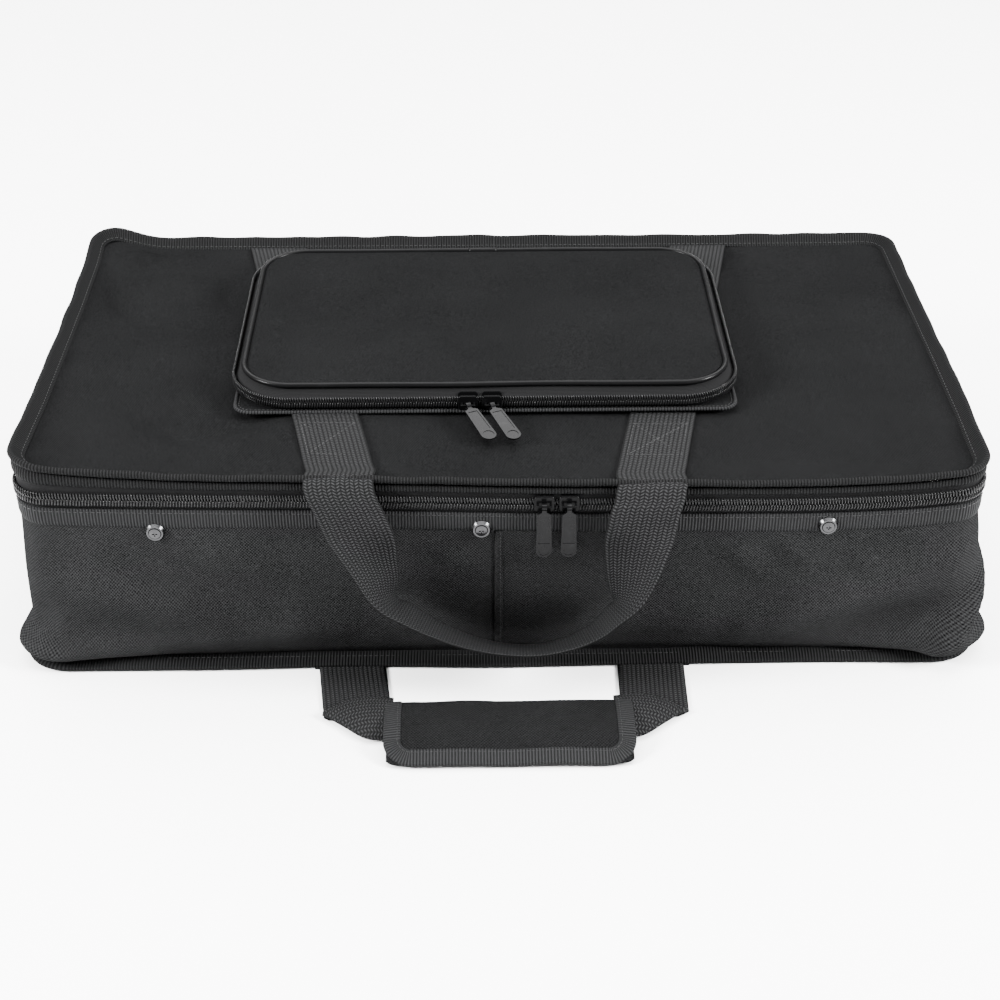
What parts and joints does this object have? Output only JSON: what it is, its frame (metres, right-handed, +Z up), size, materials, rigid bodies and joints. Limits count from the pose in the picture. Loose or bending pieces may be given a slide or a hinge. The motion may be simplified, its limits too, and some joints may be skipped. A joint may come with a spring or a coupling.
{
  "type": "manicure table carry bag with folded table",
  "caption": "Flat black zipped carry bag with webbing carrying loops and a lid pocket, holding a folded portable manicure table.",
  "frame": {"origin": "centre of the bag's underside, on the surface it lies on", "axes": "+X to the right along the long side, +Y towards the lid's cloth hinge, +Z up"},
  "size_m": [0.722, 0.534, 0.181],
  "materials": {
    "oxford_cloth": "matte black coated woven cloth",
    "webbing": "matte black herringbone webbing",
    "ribbed_binding": "black ribbed binding tape",
    "zip_tape": "black woven zip tape",
    "zip_coil": "glossy black nylon coil",
    "piping": "glossy black PVC piping",
    "black_enamel": "gloss black enamel",
    "gunmetal": "dark gunmetal plating",
    "bright_steel": "bright zinc plated",
    "foam": "closed-cell padding",
    "stiffener": "plain black board",
    "hook_and_loop": "black hook-and-loop tape",
    "board": "white laminated board",
    "edging": "black edge band",
    "leg_steel": "silver powder coat",
    "rubber_feet": "black rubber"
  },
  "bodies": {
    "bag": {"base_panel": "oxford_cloth", "base_stiffener": "stiffener", "base_binding": "ribbed_binding", "base_webbing_left": "webbing", "base_webbing_right": "webbing", "wall_left": "oxford_cloth", "wall_right": "oxford_cloth", "wall_top_band": "ribbed_binding", "hinge_cloth": "oxford_cloth", "zip_tape_lower": "zip_tape", "zip_coil_lower": "zip_coil", "cup_washers": "bright_steel", "wall_screws": "bright_steel", "table_top": "board", "table_edging": "edging", "table_rail_front": "board", "table_rail_back": "board", "table_rail_left": "board", "table_rail_right": "board", "left_leg_front": "leg_steel", "left_leg_back": "leg_steel", "left_leg_cross_tubes": "leg_steel", "left_leg_feet": "rubber_feet", "left_leg_pivot_pins": "leg_steel", "left_leg_brackets": "leg_steel", "right_leg_front": "leg_steel", "right_leg_back": "leg_steel", "right_leg_cross_tubes": "leg_steel", "right_leg_feet": "rubber_feet", "right_leg_pivot_pins": "leg_steel", "right_leg_brackets": "leg_steel"},
    "lid": {"lid_panel": "oxford_cloth", "lid_foam": "foam", "lid_binding": "ribbed_binding", "lid_webbing_left": "webbing", "lid_webbing_right": "webbing", "zip_tape_upper": "zip_tape", "zip_coil_upper": "zip_coil", "pocket_back": "oxford_cloth", "pocket_wall": "oxford_cloth", "pocket_tape_lower": "zip_tape", "pocket_coil_lower": "zip_coil"},
    "pocket_flap": {"pocket_top": "oxford_cloth", "pocket_piping": "piping", "pocket_tape_upper": "zip_tape", "pocket_coil_upper": "zip_coil"},
    "main_slider_left": {"main_slider_left": "black_enamel"},
    "main_slider_right": {"main_slider_right": "black_enamel"},
    "main_pull_left": {"main_pull_left": "black_enamel"},
    "main_pull_right": {"main_pull_right": "black_enamel"},
    "pocket_slider_left": {"pocket_slider_left": "gunmetal"},
    "pocket_slider_right": {"pocket_slider_right": "gunmetal"},
    "pocket_pull_left": {"pocket_pull_left": "gunmetal"},
    "pocket_pull_right": {"pocket_pull_right": "gunmetal"},
    "upper_handle": {"upper_handle": "webbing"},
    "lower_handle": {"lower_handle": "webbing", "grip_wrap_pad": "oxford_cloth", "grip_loop_strip": "hook_and_loop"},
    "grip_flap": {"grip_wrap_flap": "oxford_cloth", "grip_hook_strip": "hook_and_loop"}
  },
  "joints": [
    {"name": "lid_hinge", "type": "hinge", "parent": "bag", "child": "lid", "pos_m": [0, 0.1995, 0.152], "axis": [-1, 0, 0], "range_deg": [0, 180]},
    {"name": "pocket_flap_hinge", "type": "hinge", "parent": "lid", "child": "pocket_flap", "pos_m": [-0.0105, 0.1515, 0.1762], "axis": [1, 0, 0], "range_deg": [-165, 0]},
    {"name": "upper_handle_swing", "type": "hinge", "parent": "lid", "child": "upper_handle", "pos_m": [0, -0.2034, 0.1682], "axis": [1, 0, 0], "range_deg": [-205, 0]},
    {"name": "lower_handle_swing", "type": "hinge", "parent": "bag", "child": "lower_handle", "pos_m": [0, -0.209, 0.001], "axis": [-1, 0, 0], "range_deg": [0, 26]},
    {"name": "grip_flap_hinge", "type": "hinge", "parent": "lower_handle", "child": "grip_flap", "pos_m": [0.0035, -0.258, 0.0096], "axis": [1, 0, 0], "range_deg": [-90, 0]},
    {"name": "main_slider_left_slide", "type": "slide", "parent": "bag", "child": "main_slider_left", "axis": [1, 0, 0], "range_m": [-0.345, 0]},
    {"name": "main_slider_right_slide", "type": "slide", "parent": "bag", "child": "main_slider_right", "axis": [1, 0, 0], "range_m": [0, 0.267]},
    {"name": "main_pull_left_swing", "type": "hinge", "parent": "main_slider_left", "child": "main_pull_left", "pos_m": [0.03, -0.2041, 0.142], "axis": [-1, 0, 0], "range_deg": [0, 170]},
    {"name": "main_pull_right_swing", "type": "hinge", "parent": "main_slider_right", "child": "main_pull_right", "pos_m": [0.048, -0.2041, 0.142], "axis": [-1, 0, 0], "range_deg": [0, 170]},
    {"name": "pocket_slider_left_slide", "type": "slide", "parent": "lid", "child": "pocket_slider_left", "axis": [1, 0, 0], "range_m": [-0.126, 0]},
    {"name": "pocket_slider_right_slide", "type": "slide", "parent": "lid", "child": "pocket_slider_right", "axis": [1, 0, 0], "range_m": [0, 0.135]},
    {"name": "pocket_pull_left_swing", "type": "hinge", "parent": "pocket_slider_left", "child": "pocket_pull_left", "pos_m": [-0.024, -0.1072, 0.17], "axis": [-1, 0, 0], "range_deg": [0, 105]},
    {"name": "pocket_pull_right_swing", "type": "hinge", "parent": "pocket_slider_right", "child": "pocket_pull_right", "pos_m": [-0.006, -0.1072, 0.17], "axis": [-1, 0, 0], "range_deg": [0, 105]}
  ]
}
